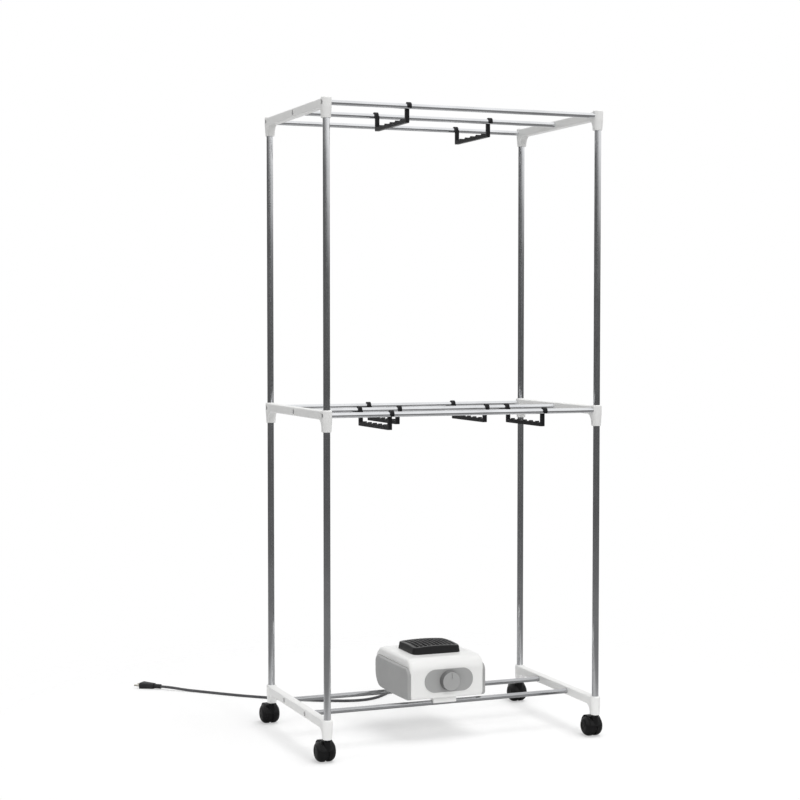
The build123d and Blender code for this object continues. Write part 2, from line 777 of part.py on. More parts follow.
with BuildPart() as outlet_grille:
    with BuildSketch(Plane.XY.offset(heater_top_z)):
        with Locations((0, outlet_y)):
            RectangleRounded(outlet_length, outlet_depth, outlet_corner)
    extrude(amount=outlet_height, taper=outlet_taper)
    with BuildSketch(Plane.XZ.offset(-outlet_y)):
        with BuildLine():
            rim = (crown_half, outlet_head_z - outlet_crown)
            TangentArc((0, outlet_head_z), rim, tangent=(1, 0))
            Polyline(rim, (crown_half, heater_top_z), (0, heater_top_z), (0, outlet_head_z))
        make_face()
    revolve(axis=Axis((0, outlet_y, 0), (0, 0, 1)), mode=Mode.INTERSECT)
    fillet(outlet_grille.faces().sort_by(Axis.Z)[-1].edges(), outlet_edge)
    with BuildSketch(Plane.XY.offset(heater_top_z)):
        with Locations((0, outlet_y)):
            Rectangle(skirt_length - 2 * seam, skirt_depth - 2 * seam)
    extrude(amount=-outlet_skirt)
    with BuildSketch(Plane.XY.offset(heater_top_z - outlet_skirt)):
        with Locations((0, outlet_y)):
            Rectangle(well_length, well_depth)
    extrude(amount=outlet_skirt + outlet_height - outlet_crown - outlet_grid_thickness, mode=Mode.SUBTRACT)
    with BuildSketch(Plane.XY.offset(outlet_head_z)):
        with Locations((0, outlet_y)):
            with GridLocations(cell_length, cell_depth, cell_columns, cell_rows):
                Rectangle(cell_length - cell_bar, cell_depth - cell_bar)
    extrude(amount=-outlet_crown - outlet_grid_thickness - 1, taper=cell_taper, mode=Mode.SUBTRACT)
outlet_grille.part.label = "outlet_grille"
export_step(outlet_grille.part, "parts/outlet_grille.step")

# Heating element: a frame with fins across the air stream
with BuildPart() as heating_element:
    with BuildSketch(Plane.XY.offset(element_foot_z)):
        with Locations((0, outlet_y)):
            Rectangle(element_length, element_depth)
            fin_room = element_length - 2 * element_border
            gap_width = (fin_room - fin_count * fin_thickness) / (fin_count + 1)
            with GridLocations(gap_width + fin_thickness, 0, fin_count + 1, 1):
                Rectangle(gap_width, element_depth - 2 * element_border, mode=Mode.SUBTRACT)
    extrude(amount=element_height)
heating_element.part.label = "heating_element"
export_step(heating_element.part, "parts/heating_element.step")

# Fan motor
with BuildPart() as fan_motor:
    with BuildSketch(Plane.XY.offset(motor_foot_z)):
        with Locations((0, outlet_y)):
            Circle(motor_dia / 2)
    extrude(amount=motor_height)
    fillet(fan_motor.faces().sort_by(Axis.Z)[-1].edges(), motor_edge)
    with BuildSketch(Plane.XY.offset(motor_head_z)):
        with Locations((0, outlet_y)):
            Circle(motor_nose_dia / 2)
    extrude(amount=motor_nose_height)
    with BuildSketch(Plane.XY.offset(motor_foot_z + heater_wall)):
        with Locations((0, outlet_y)):
            Circle(fan_shaft_dia / 2 + run_clearance)
    extrude(amount=motor_height + motor_nose_height, mode=Mode.SUBTRACT)
fan_motor.part.label = "fan_motor"
export_step(fan_motor.part, "parts/fan_motor.step")

# Fan impeller: a hub on the motor shaft with twisted blades
blade_mid_z = hub_foot_z + fan_hub_height / 2
with BuildPart() as fan_impeller:
    with BuildSketch(Plane.XY.offset(hub_foot_z)):
        with Locations((0, outlet_y)):
            Circle(fan_hub_dia / 2)
    extrude(amount=fan_hub_height)
    fillet(fan_impeller.faces().sort_by(Axis.Z)[-1].edges(), motor_edge)
    for blade in range(blade_count):
        angle = 2 * pi * blade / blade_count
        radial = Vector(cos(angle), sin(angle), 0)
        along = Vector(-sin(angle), cos(angle), 0)
        centre = Vector(0, outlet_y, blade_mid_z)
        root = Plane(centre + radial * (fan_hub_dia / 2 - motor_edge), x_dir=along, z_dir=radial)
        tip = Plane(centre + radial * (fan_dia / 2), x_dir=along, z_dir=radial)
        with BuildSketch(root):
            Rectangle(blade_root_chord, blade_thickness, rotation=blade_root_pitch)
        with BuildSketch(tip):
            Rectangle(blade_tip_chord, blade_thickness, rotation=blade_tip_pitch)
        loft()
    with BuildSketch(Plane.XY.offset(motor_foot_z + 2 * heater_wall)):
        with Locations((0, outlet_y)):
            Circle(fan_shaft_dia / 2)
    extrude(amount=hub_foot_z - motor_foot_z)
fan_impeller.part.label = "fan_impeller"
export_step(fan_impeller.part, "parts/fan_impeller.step")

# Cord gland: a flange inside the shell, a neck through its wall and a tapered sleeve outside
gland_tip_y = heater_rear_y + gland_length
with BuildPart() as cord_gland:
    inner_y = heater_rear_y - heater_wall - gland_gap
    with BuildSketch(Plane.XY.offset(gland_z)):
        with BuildLine():
            Polyline(
                (gland_x, inner_y - gland_flange),
                (gland_x + gland_flange_dia / 2, inner_y - gland_flange),
                (gland_x + gland_flange_dia / 2, inner_y),
                (gland_x + gland_neck_dia / 2, inner_y),
                (gland_x + gland_neck_dia / 2, heater_rear_y + seam),
                (gland_x + gland_base_dia / 2, heater_rear_y + seam),
                (gland_x + gland_tip_dia / 2, gland_tip_y),
                (gland_x, gland_tip_y),
                close=True,
            )
        make_face()
    revolve(axis=Axis((gland_x, 0, gland_z), (0, 1, 0)))
cord_gland.part.label = "cord_gland"
export_step(cord_gland.part, "parts/cord_gland.step")


# Mains cord: straight runs joined by arcs as large as the runs allow
def corner_radii(points):
    radii = []
    for before, corner, after in zip(points, points[1:], points[2:]):
        run_in = Vector(*corner) - Vector(*before)
        run_out = Vector(*after) - Vector(*corner)
        turn = radians(run_in.get_angle(run_out))
        radii.append(0.45 * min(run_in.length, run_out.length) / tan(turn / 2))
    return radii


def lay_cord(name, points):
    radii = corner_radii(points)
    with BuildPart() as cord:
        with BuildLine() as route:
            FilletPolyline(*points, radius=radii)
        with BuildSketch(Plane(route.line @ 0, z_dir=route.line % 0)):
            Circle(cord_dia / 2)
        sweep()
    length = route.wires()[0].length
    tube_volume = pi * cord_dia**2 / 4 * length
    print(name, "length", round(length), "radii", [round(r) for r in radii])
    print(name, "volume", round(cord.part.volume), "section times length", round(tube_volume))
    return cord.part


# Put-away coil: it spirals in on the floor, climbs a layer where the spiral reverses and spirals out on top
coil_half = coil_turns / 2
climb_half = 0.25


def coil_point(turn):
    radius = coil_inner_radius + coil_pitch * sqrt((turn - coil_half) ** 2 + coil_reversal**2)
    share = min(1, max(0, (turn - coil_half + climb_half) / (2 * climb_half)))
    height = coil_lift + coil_layer * share * share * (3 - 2 * share)
    angle = 2 * pi * turn
    return Vector(coil_x + radius * cos(angle), coil_y + radius * sin(angle), height)


def coil_heading(turn):
    step = 1e-4
    return unit_vector(coil_point(turn + step) - coil_point(turn - step))


def flat_heading(turn):
    heading = coil_heading(turn)
    return unit_vector(Vector(heading.X, heading.Y, 0))


def biarc_joint(start, start_heading, end, end_heading):
    chord = end - start
    both = start_heading + end_heading
    a = 2 - 2 * start_heading.dot(end_heading)
    b = 2 * chord.dot(both)
    c = -chord.dot(chord)
    reach = (-b + sqrt(b * b - 4 * a * c)) / (2 * a)
    return (start + end) * 0.5 + (start_heading - end_heading) * (reach / 2)


coil_steps = round(coil_turns * 4)
coil_in = coil_point(0) - flat_heading(0) * cord_dia
coil_out = coil_point(coil_turns) + flat_heading(coil_turns) * cord_dia
with BuildPart() as cord_coil:
    with BuildLine() as windings:
        Line(coil_in, coil_point(0))
        for quarter in range(coil_steps):
            turn_from = coil_turns * quarter / coil_steps
            turn_to = coil_turns * (quarter + 1) / coil_steps
            start = coil_point(turn_from)
            end = coil_point(turn_to)
            heading = coil_heading(turn_from)
            joint = biarc_joint(start, heading, end, coil_heading(turn_to))
            first = TangentArc(start, joint, tangent=heading)
            TangentArc(joint, end, tangent=first % 1)
        Line(coil_point(coil_turns), coil_out)
    with BuildSketch(Plane(windings.line @ 0, z_dir=windings.line % 0)):
        Circle(cord_dia / 2)
    sweep()
winding = windings.wires()[0]
samples = 360
spots = [winding @ (i / samples) for i in range(samples + 1)]
apart = int(samples * 4 * cord_dia / winding.length)
nearest = min((spots[i] - spots[j]).length for i in range(samples) for j in range(i + apart, samples + 1))
print("cord_coil length", round(winding.length), "least gap to itself", round(nearest - cord_dia, 2))
print("cord_coil volume", round(cord_coil.part.volume), "section times length",
      round(pi * cord_dia**2 / 4 * winding.length))
cord_coil.part.label = "cord_coil"
export_step(cord_coil.part, "parts/cord_coil.step")

# Tie round the two layers of the coil
tie_turn = tie_angle / 360
lower_strand = coil_point(tie_turn)
upper_strand = coil_point(tie_turn + 1)
tie_radius = (hypot(lower_strand.X - coil_x, lower_strand.Y - coil_y)
              + hypot(upper_strand.X - coil_x, upper_strand.Y - coil_y)) / 2
tie_out = Vector(cos(2 * pi * tie_turn), sin(2 * pi * tie_turn), 0)
tie_along = Vector(-tie_out.Y, tie_out.X, 0)
tie_centre = Vector(coil_x, coil_y, (lower_strand.Z + upper_strand.Z) / 2) + tie_out * tie_radius
tie_room = cord_dia + 2 * tie_gap
with BuildPart() as coil_tie:
    with BuildSketch(Plane(tie_centre, x_dir=tie_out, z_dir=tie_along)):
        inner_width = tie_room + 1.0
        inner_height = tie_room + coil_layer
        RectangleRounded(inner_width + 2 * tie_wall, inner_height + 2 * tie_wall, cord_dia / 2)
        RectangleRounded(inner_width, inner_height, cord_dia / 2 - tie_wall, mode=Mode.SUBTRACT)
    extrude(amount=tie_width / 2, both=True)
coil_tie.part.label = "coil_tie"
export_step(coil_tie.part, "parts/coil_tie.step")

# From the gland down to the floor behind the heater, and into the coil
floor_cord_z = cord_dia / 2
coil_lead_in = coil_in - flat_heading(0) * lead_run
heater_lead_points = [
    (gland_x, gland_tip_y, gland_z),
    (gland_x, gland_tip_y + lead_run, gland_z),
    (gland_x + 8, 228, 125),
    (gland_x + 27, 250, 90),
    (gland_x + 51, 272, 51),
    (gland_x + 81, 297, 20),
    (176, 323, 5),
    (209, 350, 4),
    (coil_lead_in.X, coil_lead_in.Y, coil_lead_in.Z),
    (coil_in.X, coil_in.Y, coil_in.Z),
]
heater_lead = lay_cord("cord_from_heater", heater_lead_points)
heater_lead.label = "cord_from_heater"
export_step(heater_lead, "parts/cord_from_heater.step")

# From the coil along the floor to the plug
plug_heading = Vector(cos(radians(plug_angle)), sin(radians(plug_angle)), 0)
plug_tail = Vector(plug_x, plug_y, plug_body_height / 2)
plug_lead_in = plug_tail - plug_heading * lead_run
coil_lead_out = coil_out + flat_heading(coil_turns) * lead_run
plug_lead_points = [
    (coil_out.X, coil_out.Y, coil_out.Z),
    (coil_lead_out.X, coil_lead_out.Y, coil_lead_out.Z),
    (130, 472, 7.5),
    (102, 462, 4),
    (79, 447, floor_cord_z),
    (60, 430, floor_cord_z),
    (38, 408, floor_cord_z),
    (8, 381, floor_cord_z),
    (-31, 364, floor_cord_z),
    (-74, 368, floor_cord_z),
    (-121, 389, floor_cord_z),
    (-168, 414, floor_cord_z),
    (-215, 448, floor_cord_z),
    (-263, 487, floor_cord_z),
    (-318, 535, floor_cord_z),
    (-362, 580, floor_cord_z),
    (-402, 623, floor_cord_z),
    (-437, 656, 4.2),
    (plug_lead_in.X, plug_lead_in.Y, plug_lead_in.Z),
    (plug_tail.X, plug_tail.Y, plug_tail.Z),
]
plug_lead = lay_cord("cord_to_plug", plug_lead_points)
plug_lead.label = "cord_to_plug"
export_step(plug_lead, "parts/cord_to_plug.step")

# Plug: a tapered strain relief, a flat body and two round pins
plug_side = Vector(-plug_heading.Y, plug_heading.X, 0)
body_start = plug_tail + plug_heading * plug_tail_length
body_end = body_start + plug_heading * plug_body_length
with BuildPart() as plug:
    with BuildSketch(Plane(plug_tail, x_dir=plug_side, z_dir=plug_heading)):
        Circle(plug_tail_dia / 2)
    extrude(amount=plug_tail_length + plug_corner)
    with BuildSketch(Plane(body_start, x_dir=plug_side, z_dir=plug_heading)):
        RectangleRounded(plug_neck_width, plug_neck_height, plug_corner)
    with BuildSketch(Plane(body_end, x_dir=plug_side, z_dir=plug_heading)):
        RectangleRounded(plug_body_width, plug_body_height, plug_corner)
    loft()
    with BuildSketch(Plane(body_end, x_dir=plug_side, z_dir=plug_heading)):
        with GridLocations(pin_spacing, 0, 2, 1):
            Circle(pin_dia / 2)
    extrude(amount=pin_length)
    pin_ends = plug.faces().sort_by(Axis(body_end, plug_heading))[-2:]
    fillet(pin_ends.edges(), pin_tip)
plug.part.label = "plug"
export_step(plug.part, "parts/plug.step")
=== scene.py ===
"""Looks for the portable clothes dryer. Everything is in metres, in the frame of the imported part."""

import json
import math

import bmesh
import bpy
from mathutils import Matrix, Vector


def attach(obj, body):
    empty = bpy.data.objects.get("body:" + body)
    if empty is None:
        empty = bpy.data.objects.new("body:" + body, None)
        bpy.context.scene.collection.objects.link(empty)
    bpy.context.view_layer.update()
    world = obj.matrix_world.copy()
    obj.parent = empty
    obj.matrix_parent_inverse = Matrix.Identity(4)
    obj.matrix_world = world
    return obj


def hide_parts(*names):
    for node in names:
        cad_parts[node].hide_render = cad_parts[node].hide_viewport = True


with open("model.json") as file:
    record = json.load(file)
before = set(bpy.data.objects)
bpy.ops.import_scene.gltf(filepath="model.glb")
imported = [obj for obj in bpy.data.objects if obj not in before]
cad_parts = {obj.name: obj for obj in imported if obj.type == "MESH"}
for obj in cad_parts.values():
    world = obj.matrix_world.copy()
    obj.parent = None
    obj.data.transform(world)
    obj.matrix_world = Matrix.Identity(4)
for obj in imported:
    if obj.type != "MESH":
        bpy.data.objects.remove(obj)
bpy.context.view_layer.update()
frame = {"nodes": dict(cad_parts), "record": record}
nodes = frame["nodes"]


def add_object(name, data):
    thing = bpy.data.objects.new(name, data)
    bpy.context.collection.objects.link(thing)
    return thing


# Camera at the photograph's angle: angles in degrees, lens and sensor in millimetres
CAMERA_PLACE = (-1.6217, -3.8528, 0.9840)
CAMERA_AZIMUTH = -21.805
CAMERA_DOWN = 2.506
CAMERA_LENS = 78.35
CAMERA_SENSOR = 36.0

camera_data = bpy.data.cameras.new("camera")
camera_data.lens = CAMERA_LENS
camera_data.sensor_width = CAMERA_SENSOR
camera = add_object("camera", camera_data)
camera.location = CAMERA_PLACE
camera.rotation_euler = (math.radians(90 - CAMERA_DOWN), 0, math.radians(CAMERA_AZIMUTH))
bpy.context.scene.camera = camera

# Node helpers: most values of a noise texture lie between these two
NOISE_LOW = 0.3
NOISE_HIGH = 0.7


class NodeTree:
    """A node tree, with short ways to add nodes to it and to join them."""

    def __init__(self, tree):
        self.tree = tree

    def add(self, kind, **settings):
        node = self.tree.nodes.new(kind)
        for key, value in settings.items():
            setattr(node, key, value)
        return node

    def feed(self, socket, source):
        """Links another node's socket to this one, or sets this one to a constant."""
        if isinstance(source, bpy.types.NodeSocket):
            self.tree.links.new(source, socket)
        else:
            socket.default_value = source

    def math(self, operation, *values):
        node = self.add("ShaderNodeMath", operation=operation)
        for socket, value in zip(node.inputs, values):
            self.feed(socket, value)
        return node.outputs["Value"]

    def dot(self, vector, heading):
        node = self.add("ShaderNodeVectorMath", operation="DOT_PRODUCT")
        self.feed(node.inputs[0], vector)
        self.feed(node.inputs[1], heading)
        return node.outputs["Value"]

    def length(self, vector):
        node = self.add("ShaderNodeVectorMath", operation="LENGTH")
        self.feed(node.inputs[0], vector)
        return node.outputs["Value"]

    def span(self, value, start, end, low=0.0, high=1.0, shape="LINEAR"):
        """Goes from low at start to high at end and no further; start may be the larger one."""
        node = self.add("ShaderNodeMapRange", interpolation_type=shape)
        self.feed(node.inputs["Value"], value)
        self.feed(node.inputs["From Min"], start)
        self.feed(node.inputs["From Max"], end)
        self.feed(node.inputs["To Min"], low)
        self.feed(node.inputs["To Max"], high)
        return node.outputs["Result"]

    def mix(self, kind, share, first, second):
        node = self.add("ShaderNodeMix", data_type=kind)
        self.feed(node.inputs["Factor"], share)
        self.feed(node.inputs["A"], first)
        self.feed(node.inputs["B"], second)
        return node.outputs["Result"]

    def mix_shaders(self, share, first, second):
        node = self.add("ShaderNodeMixShader")
        for socket, value in zip(node.inputs, (share, first, second)):
            self.feed(socket, value)
        return node.outputs["Shader"]


class Shader(NodeTree):
    """A material whose textures follow the part's own coordinates."""

    def __init__(self, name):
        self.material = bpy.data.materials.new(name)
        self.material.use_nodes = True
        super().__init__(self.material.node_tree)
        self.bsdf = self.tree.nodes["Principled BSDF"]
        self.coords = self.add("ShaderNodeTexCoord").outputs["Object"]

    def put(self, socket_name, source):
        self.feed(self.bsdf.inputs[socket_name], source)

    def noise(self, scale, detail=4.0, stretch=None):
        texture = self.add("ShaderNodeTexNoise")
        self.feed(texture.inputs["Scale"], scale)
        self.feed(texture.inputs["Detail"], detail)
        vector = self.coords
        if stretch is not None:
            mapping = self.add("ShaderNodeMapping")
            self.feed(mapping.inputs["Vector"], self.coords)
            self.feed(mapping.inputs["Scale"], stretch)
            vector = mapping.outputs["Vector"]
        self.feed(texture.inputs["Vector"], vector)
        return texture.outputs["Fac"]

    def spread(self, noise, low, high):
        return self.span(noise, NOISE_LOW, NOISE_HIGH, low, high)

    def between(self, noise, dark, light):
        ramp = self.add("ShaderNodeValToRGB")
        ramp.color_ramp.elements[0].position = NOISE_LOW
        ramp.color_ramp.elements[0].color = (*dark, 1)
        ramp.color_ramp.elements[1].position = NOISE_HIGH
        ramp.color_ramp.elements[1].color = (*light, 1)
        self.feed(ramp.inputs["Fac"], noise)
        return ramp.outputs["Color"]

    def bump(self, height, strength, distance, before=None):
        node = self.add("ShaderNodeBump")
        self.feed(node.inputs["Height"], height)
        self.feed(node.inputs["Strength"], strength)
        self.feed(node.inputs["Distance"], distance)
        if before is not None:
            self.feed(node.inputs["Normal"], before)
        return node.outputs["Normal"]


def scaled(colour, share):
    return tuple(channel * share for channel in colour)


# Moulded plastic: fine grain, with slow changes of tone, of gloss and of flatness
MOULDED_GLOSS_VARIES = 0.06


def moulded(name, colour, roughness, grain, grain_depth, tone=0.06, shine=0.5):
    shader = Shader(name)
    shader.put("Specular IOR Level", shine)
    cloud = shader.noise(scale=9.0)
    shader.tint = shader.between(cloud, scaled(colour, 1 - tone), colour)
    shader.put("Base Color", shader.tint)
    sheen = shader.noise(scale=60.0)
    smoothest = roughness - MOULDED_GLOSS_VARIES
    roughest = roughness + MOULDED_GLOSS_VARIES
    shader.put("Roughness", shader.spread(sheen, smoothest, roughest))
    slow = shader.noise(scale=24.0, detail=1.0)
    sink = shader.bump(slow, strength=0.12, distance=0.0015)
    fine = shader.noise(scale=grain, detail=2.0)
    shader.relief = shader.bump(fine, strength=0.35, distance=grain_depth, before=sink)
    shader.put("Normal", shader.relief)
    return shader


# Knob: plastic with ribs round its side, and that side coloured darker as painted shade
KNOB_AXIS_X = 0.0035
KNOB_AXIS_Z = 0.142
KNOB_FACE_RADIUS = 0.0222
KNOB_SIDE_STARTS = KNOB_FACE_RADIUS - 0.0006
KNOB_SIDE_FULL = KNOB_FACE_RADIUS + 0.0002
# Share of the knob's colour left on its side wall: painted shade
KNOB_SIDE_PAINTED_SHADE = 0.42
KNOB_RIBS = 54
KNOB_RIB_HEIGHT = 0.0004


def knob_moulding(name, colour):
    shader = moulded(name, colour, roughness=0.46, grain=1300.0, grain_depth=0.0002)
    parts = shader.add("ShaderNodeSeparateXYZ")
    shader.feed(parts.inputs["Vector"], shader.coords)
    x = shader.math("SUBTRACT", parts.outputs["X"], KNOB_AXIS_X)
    z = shader.math("SUBTRACT", parts.outputs["Z"], KNOB_AXIS_Z)
    across = shader.add("ShaderNodeCombineXYZ")
    shader.feed(across.inputs["X"], x)
    shader.feed(across.inputs["Z"], z)
    radius = shader.length(across.outputs["Vector"])
    side = shader.span(radius, KNOB_SIDE_STARTS, KNOB_SIDE_FULL)
    # The side wall is given a darker copy of the knob's colour: painted shade
    painted_side_shade = (*scaled(colour, KNOB_SIDE_PAINTED_SHADE), 1)
    shader.put("Base Color", shader.mix("RGBA", side, shader.tint, painted_side_shade))
    angle = shader.math("ARCTAN2", z, x)
    wave = shader.math("COSINE", shader.math("MULTIPLY", angle, KNOB_RIBS))
    ridge = shader.math("MULTIPLY", wave, side)
    ribs = shader.bump(ridge, strength=0.8, distance=KNOB_RIB_HEIGHT, before=shader.relief)
    shader.put("Normal", ribs)
    return shader


# Bright plated tube: draw lines along its length, faint haze and a slightly wavy wall
TUBE_LINES_ACROSS = 60.0
TUBE_LINES_ALONG = 0.4
TUBE_HAZE_SHADE = 0.86
TUBE_SMOOTHEST = 0.07
TUBE_ROUGHEST = 0.17


def plated_tube(name, colour, along):
    shader = Shader(name)
    shader.put("Metallic", 1.0)
    haze = shader.noise(scale=14.0)
    shader.put("Base Color", shader.between(haze, scaled(colour, TUBE_HAZE_SHADE), colour))
    stretch = [TUBE_LINES_ACROSS] * 3
    stretch[along] = TUBE_LINES_ALONG
    lines = shader.noise(scale=18.0, detail=2.0, stretch=stretch)
    shader.put("Roughness", shader.spread(lines, TUBE_SMOOTHEST, TUBE_ROUGHEST))
    wall = shader.noise(scale=16.0, detail=1.0)
    wavy = shader.bump(wall, strength=0.04, distance=0.0006)
    shader.put("Normal", shader.bump(lines, strength=0.05, distance=0.0002, before=wavy))
    return shader


# Plain metal: brush marks that change its tone and its gloss
METAL_BRUSHED = (8.0, 8.0, 60.0)
METAL_SHADE = 0.8
METAL_GLOSS_VARIES = 0.08


def plain_metal(name, colour, roughness):
    shader = Shader(name)
    shader.put("Metallic", 1.0)
    brushed = shader.noise(scale=30.0, detail=6.0, stretch=METAL_BRUSHED)
    shader.put("Base Color", shader.between(brushed, scaled(colour, METAL_SHADE), colour))
    smoothest = roughness - METAL_GLOSS_VARIES
    roughest = roughness + METAL_GLOSS_VARIES
    shader.put("Roughness", shader.spread(brushed, smoothest, roughest))
    shader.put("Normal", shader.bump(brushed, strength=0.2, distance=0.0001))
    return shader


# Cord sheath: dusty, fine-grained and dull
SHEATH_SHINE = 0.3
SHEATH_DUST = 1.5
SHEATH_SMOOTHEST = 0.5
SHEATH_ROUGHEST = 0.68


def sheath(name, colour):
    shader = Shader(name)
    shader.put("Specular IOR Level", SHEATH_SHINE)
    dust = shader.noise(scale=45.0)
    shader.tint = shader.between(dust, colour, scaled(colour, SHEATH_DUST))
    shader.put("Base Color", shader.tint)
    shader.dullness = shader.spread(dust, SHEATH_SMOOTHEST, SHEATH_ROUGHEST)
    shader.put("Roughness", shader.dullness)
    grain = shader.noise(scale=1400.0, detail=2.0)
    shader.put("Normal", shader.bump(grain, strength=0.3, distance=0.0002))
    return shader


# Plug: a sheath-like body, and nickel-plated pins beyond its end along its heading
PLUG_HEADING = (-0.7349, 0.6782, 0.0)
PLUG_BODY_END = 0.8980
PLUG_PINS_START = PLUG_BODY_END + 0.0002
PLUG_PINS_FULL = PLUG_BODY_END + 0.0005
PIN_ROUGHNESS = 0.24


def plug_moulding(name, colour, pin_colour):
    shader = sheath(name, colour)
    along = shader.dot(shader.coords, PLUG_HEADING)
    pins = shader.span(along, PLUG_PINS_START, PLUG_PINS_FULL)
    shader.put("Metallic", pins)
    shader.put("Base Color", shader.mix("RGBA", pins, shader.tint, (*pin_colour, 1)))
    shader.put("Roughness", shader.mix("FLOAT", pins, shader.dullness, PIN_ROUGHNESS))
    return shader


# Looks of the record's material slots, and of the nodes that have their own
WHITE = (0.83, 0.83, 0.82)
GREY = (0.37, 0.372, 0.37)
DARK_GREY = (0.10, 0.10, 0.105)
CHARCOAL = (0.030, 0.030, 0.032)
BLACK = (0.0065, 0.0065, 0.007)
OUTLET_BLACK = (0.006, 0.006, 0.0065)
CORD_BLACK = (0.055, 0.055, 0.058)
TIE_BLACK = (0.022, 0.022, 0.023)
PLUG_BLACK = (0.014, 0.014, 0.015)
CHROME = (0.84, 0.85, 0.87)
ZINC = (0.74, 0.74, 0.75)
STEEL = (0.42, 0.42, 0.44)
ALUMINIUM = (0.60, 0.60, 0.61)
NICKEL = (0.62, 0.60, 0.54)

HOUSING_BLACK = scaled(BLACK, 0.7)
WHEEL_BLACK = scaled(BLACK, 0.8)
HANGER_BLACK = scaled(BLACK, 2.0)
# Chrome darkened for the bottom rails: painted shade
PAINTED_SHADE_CHROME = scaled(CHROME, 0.6)

ALONG_X = 0
ALONG_Z = 2

looks = {
    "white_plastic": moulded(
        "white_moulding", WHITE, roughness=0.36, grain=1500.0, grain_depth=0.0001, tone=0.03
    ),
    "grey_plastic": moulded("grey_moulding", GREY, roughness=0.48, grain=1300.0, grain_depth=0.0002),
    "inner_plastic": moulded("inner_moulding", DARK_GREY, roughness=0.5, grain=1200.0, grain_depth=0.0002),
    "fan_plastic": moulded("fan_moulding", CHARCOAL, roughness=0.45, grain=900.0, grain_depth=0.0002),
    "caster_plastic": moulded(
        "caster_moulding", HOUSING_BLACK, roughness=0.32, grain=900.0, grain_depth=0.0002, shine=0.23
    ),
    "caster_tread": moulded(
        "caster_wheel", WHEEL_BLACK, roughness=0.36, grain=700.0, grain_depth=0.0003, shine=0.23
    ),
    "black_plastic": moulded(
        "hanger_moulding", HANGER_BLACK, roughness=0.42, grain=1200.0, grain_depth=0.0002, shine=0.16
    ),
    "grille_plastic": moulded(
        "outlet_moulding", OUTLET_BLACK, roughness=0.37, grain=1100.0, grain_depth=0.0002, shine=0.32
    ),
    "chrome_tube": plated_tube("rail_chrome", CHROME, along=ALONG_X),
    "screw_steel": plain_metal("zinc_screw", ZINC, roughness=0.50),
    "motor_steel": plain_metal("motor_can", STEEL, roughness=0.40),
    "element_metal": plain_metal("element_fins", ALUMINIUM, roughness=0.42),
    "cord_rubber": sheath("cord_sheath", CORD_BLACK),
    "tie_plastic": sheath("tie_strap", TIE_BLACK),
}
upright_chrome = plated_tube("upright_chrome", CHROME, along=ALONG_Z)
# The bottom rails get the darkened chrome: painted shade on the same plated tube
painted_shade_bottom_rail_chrome = plated_tube("painted_shade_bottom_rail_chrome", PAINTED_SHADE_CHROME, along=ALONG_X)


def paint(thing, look):
    if not thing.material_slots:
        thing.data.materials.append(look.material)
    for place in thing.material_slots:
        place.material = look.material


for row in frame["record"]["subparts"]:
    node_name = row["node"]
    if "upright" in node_name:
        paint(nodes[node_name], upright_chrome)
    elif "bottom_rail" in node_name:
        paint(nodes[node_name], painted_shade_bottom_rail_chrome)
    else:
        paint(nodes[node_name], looks[row["material_slot"]])
paint(nodes["timer_knob"], knob_moulding("knob_moulding", GREY))
paint(nodes["plug"], plug_moulding("plug_moulding", PLUG_BLACK, NICKEL))

# Hanger bars: a small round on their moulded edges, and the least angle of an edge that gets it
SOFT_EDGE_WIDTH = 0.0006
SOFT_EDGE_SEGMENTS = 2
SOFT_EDGE_ANGLE = math.radians(50)

for node_name, node in nodes.items():
    if node_name.startswith("hanger_bar"):
        bevel = node.modifiers.new("soft_edge", "BEVEL")
        bevel.width = SOFT_EDGE_WIDTH
        bevel.segments = SOFT_EDGE_SEGMENTS
        bevel.limit_method = "ANGLE"
        bevel.angle_limit = SOFT_EDGE_ANGLE

# Helpers for pieces that replace a node
SHARP_ANGLE = math.radians(35)


def smooth_step(share):
    """Rises smoothly from 0 to 1, and stays level outside."""
    share = min(1.0, max(0.0, share))
    return share * share * (3 - 2 * share)


def skin(shape, rings):
    """Faces between neighbouring rings of points, and a cap at each end."""
    for first, second in zip(rings, rings[1:]):
        for place in range(len(first)):
            after = (place + 1) % len(first)
            shape.faces.new((first[place], first[after], second[after], second[place]))
    shape.faces.new(rings[0])
    shape.faces.new(rings[-1])


def new_piece(name, shape, node_name, slot_name):
    bmesh.ops.recalc_face_normals(shape, faces=shape.faces)
    mesh = bpy.data.meshes.new(name)
    shape.to_mesh(mesh)
    shape.free()
    for face in mesh.polygons:
        face.use_smooth = True
    mesh.set_sharp_from_angle(angle=SHARP_ANGLE)
    thing = add_object(name, mesh)
    paint(thing, looks[slot_name])
    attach(thing, "frame")
    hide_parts(node_name)
    return thing


# Rail screws: a pan head with a cross recess, on a shank that goes into the rail's plug
SCREW_SEAT_X = 0.345
SCREW_HEAD_RADIUS = 0.0053
SCREW_HEAD_EDGE = 0.0010
SCREW_HEAD_RISE = 0.0026
SCREW_SHANK_RADIUS = 0.0020
SCREW_SHANK_LENGTH = 0.0200
CROSS_HALF_WIDTH = 0.0006
CROSS_REACH = 0.0027
CROSS_DEPTH = 0.0012
SCREW_SECTORS = 48
SCREW_RINGS = 14
SCREW_TWIST = 0.9
BOTTOM_RAIL_Z = 0.086
MIDDLE_RAIL_Z = 0.780
TOP_RAIL_Z = 1.472
BOTTOM_RAIL_Y = 0.077
UPPER_RAIL_Y = 0.206
RAIL_ROWS = {
    BOTTOM_RAIL_Z: (-BOTTOM_RAIL_Y, BOTTOM_RAIL_Y),
    MIDDLE_RAIL_Z: (-UPPER_RAIL_Y, 0.0, UPPER_RAIL_Y),
    TOP_RAIL_Z: (-UPPER_RAIL_Y, 0.0, UPPER_RAIL_Y),
}


